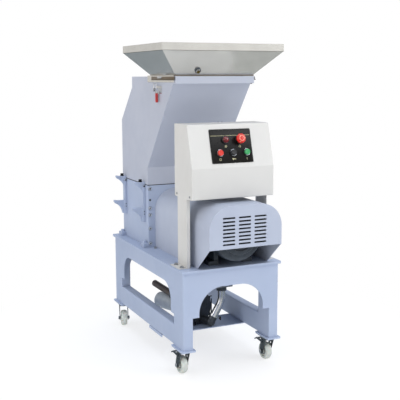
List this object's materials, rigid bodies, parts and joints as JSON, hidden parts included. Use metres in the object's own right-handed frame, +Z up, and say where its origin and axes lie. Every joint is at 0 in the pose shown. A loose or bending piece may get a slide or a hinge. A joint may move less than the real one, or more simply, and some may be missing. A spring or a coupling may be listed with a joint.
{
  "type": "plastic crusher",
  "caption": "Mobile plastic granulator on a caster stand: stainless feed tray, leaning hopper, clamped cutting chamber, louvred motor cover, control box and conveying blower.",
  "frame": {"origin": "on the floor, under the middle of the outer dimensions", "axes": "+Z up, the control side faces -Y, +X to the right of someone who stands before the control box"},
  "size_m": [0.54, 0.933, 1.341],
  "materials": {
    "painted_sheet": "light blue-grey enamel on bent steel sheet",
    "zinc_steel": "zinc plated steel",
    "wheel_plastic": "milky white nylon",
    "tool_steel": "ground steel",
    "stainless": "brushed stainless sheet",
    "dark_iron": "dark painted or blackened iron",
    "motor_alloy": "cast motor shell",
    "chrome": "polished",
    "red_grip": "dipped red grip",
    "white_sheet": "white powder coat",
    "panel_plate": "black overlay",
    "lamp_lens": "dark red lens",
    "red_button": "red",
    "black_button": "black",
    "green_button": "green"
  },
  "bodies": {
    "frame": {"stand_legs": "painted_sheet", "side_rails": "painted_sheet", "apron_plates": "painted_sheet", "table_plate": "painted_sheet", "foot_plates": "painted_sheet", "caster_mounts": "zinc_steel", "cutting_chamber": "painted_sheet", "chamber_feet": "painted_sheet", "rotor": "tool_steel", "screen": "tool_steel", "clamp_brackets": "painted_sheet", "clamp_bolts": "dark_iron", "hopper_body": "painted_sheet", "tray_hinge_fixed": "dark_iron", "latch_base": "chrome", "motor_cover": "painted_sheet", "motor_body": "dark_iron", "fan_cowl": "dark_iron", "control_box": "white_sheet", "box_posts": "white_sheet", "control_panel": "panel_plate", "button_bezels": "zinc_steel", "lamp": "lamp_lens", "discharge_chute": "zinc_steel", "suction_pipe": "chrome", "pipe_collars": "dark_iron", "blower_shelf": "painted_sheet", "blower_housing": "dark_iron", "blower_motor": "motor_alloy"},
    "caster_fl": {"caster_fork_fl": "zinc_steel"},
    "wheel_fl": {"caster_wheel_fl": "wheel_plastic"},
    "caster_fr": {"caster_fork_fr": "zinc_steel"},
    "wheel_fr": {"caster_wheel_fr": "wheel_plastic"},
    "caster_rl": {"caster_fork_rl": "zinc_steel"},
    "wheel_rl": {"caster_wheel_rl": "wheel_plastic"},
    "caster_rr": {"caster_fork_rr": "zinc_steel"},
    "wheel_rr": {"caster_wheel_rr": "wheel_plastic"},
    "tray": {"feed_tray": "stainless", "tray_hinge_leaf": "dark_iron"},
    "latch": {"latch_lever": "red_grip"},
    "mushroom": {"emergency_stop": "red_button"},
    "stop_cap": {"stop_button": "red_button"},
    "reverse_cap": {"reverse_button": "black_button"},
    "start_cap": {"start_button": "green_button"}
  },
  "joints": [
    {"name": "swivel_fl", "type": "hinge", "parent": "frame", "child": "caster_fl", "pos_m": [-0.1975, -0.3305, 0.09], "axis": [0, 0, 1], "continuous": true},
    {"name": "roll_fl", "type": "hinge", "parent": "caster_fl", "child": "wheel_fl", "pos_m": [-0.1975, -0.3105, 0.0375], "axis": [1, 0, 0], "continuous": true},
    {"name": "swivel_fr", "type": "hinge", "parent": "frame", "child": "caster_fr", "pos_m": [0.1975, -0.3305, 0.09], "axis": [0, 0, 1], "continuous": true},
    {"name": "roll_fr", "type": "hinge", "parent": "caster_fr", "child": "wheel_fr", "pos_m": [0.1975, -0.3105, 0.0375], "axis": [1, 0, 0], "continuous": true},
    {"name": "swivel_rl", "type": "hinge", "parent": "frame", "child": "caster_rl", "pos_m": [-0.1975, 0.4105, 0.09], "axis": [0, 0, 1], "continuous": true},
    {"name": "roll_rl", "type": "hinge", "parent": "caster_rl", "child": "wheel_rl", "pos_m": [-0.20268, 0.39118, 0.0375], "axis": [-0.9659, 0.2588, 0], "continuous": true},
    {"name": "swivel_rr", "type": "hinge", "parent": "frame", "child": "caster_rr", "pos_m": [0.1975, 0.4105, 0.09], "axis": [0, 0, 1], "continuous": true},
    {"name": "roll_rr", "type": "hinge", "parent": "caster_rr", "child": "wheel_rr", "pos_m": [0.19232, 0.39118, 0.0375], "axis": [-0.9659, 0.2588, 0], "continuous": true},
    {"name": "tray_tilt", "type": "hinge", "parent": "frame", "child": "tray", "pos_m": [0.1848, 0, 1.205], "axis": [0, 1, 0], "range_deg": [0, 90]},
    {"name": "latch_swing", "type": "hinge", "parent": "frame", "child": "latch", "pos_m": [-0.188, -0.042, 1.155], "axis": [0, 1, 0], "range_deg": [0, 110]},
    {"name": "emergency_stop_press", "type": "slide", "parent": "frame", "child": "mushroom", "axis": [0, 0.9628, -0.2703], "range_m": [0, 0.004], "stiffness_N_per_m": 400, "springref_m": -0.001},
    {"name": "stop_button_press", "type": "slide", "parent": "frame", "child": "stop_cap", "axis": [0, 0.9628, -0.2703], "range_m": [0, 0.0035], "stiffness_N_per_m": 400, "springref_m": -0.001},
    {"name": "reverse_button_press", "type": "slide", "parent": "frame", "child": "reverse_cap", "axis": [0, 0.9628, -0.2703], "range_m": [0, 0.0035], "stiffness_N_per_m": 400, "springref_m": -0.001},
    {"name": "start_button_press", "type": "slide", "parent": "frame", "child": "start_cap", "axis": [0, 0.9628, -0.2703], "range_m": [0, 0.0035], "stiffness_N_per_m": 400, "springref_m": -0.001}
  ]
}
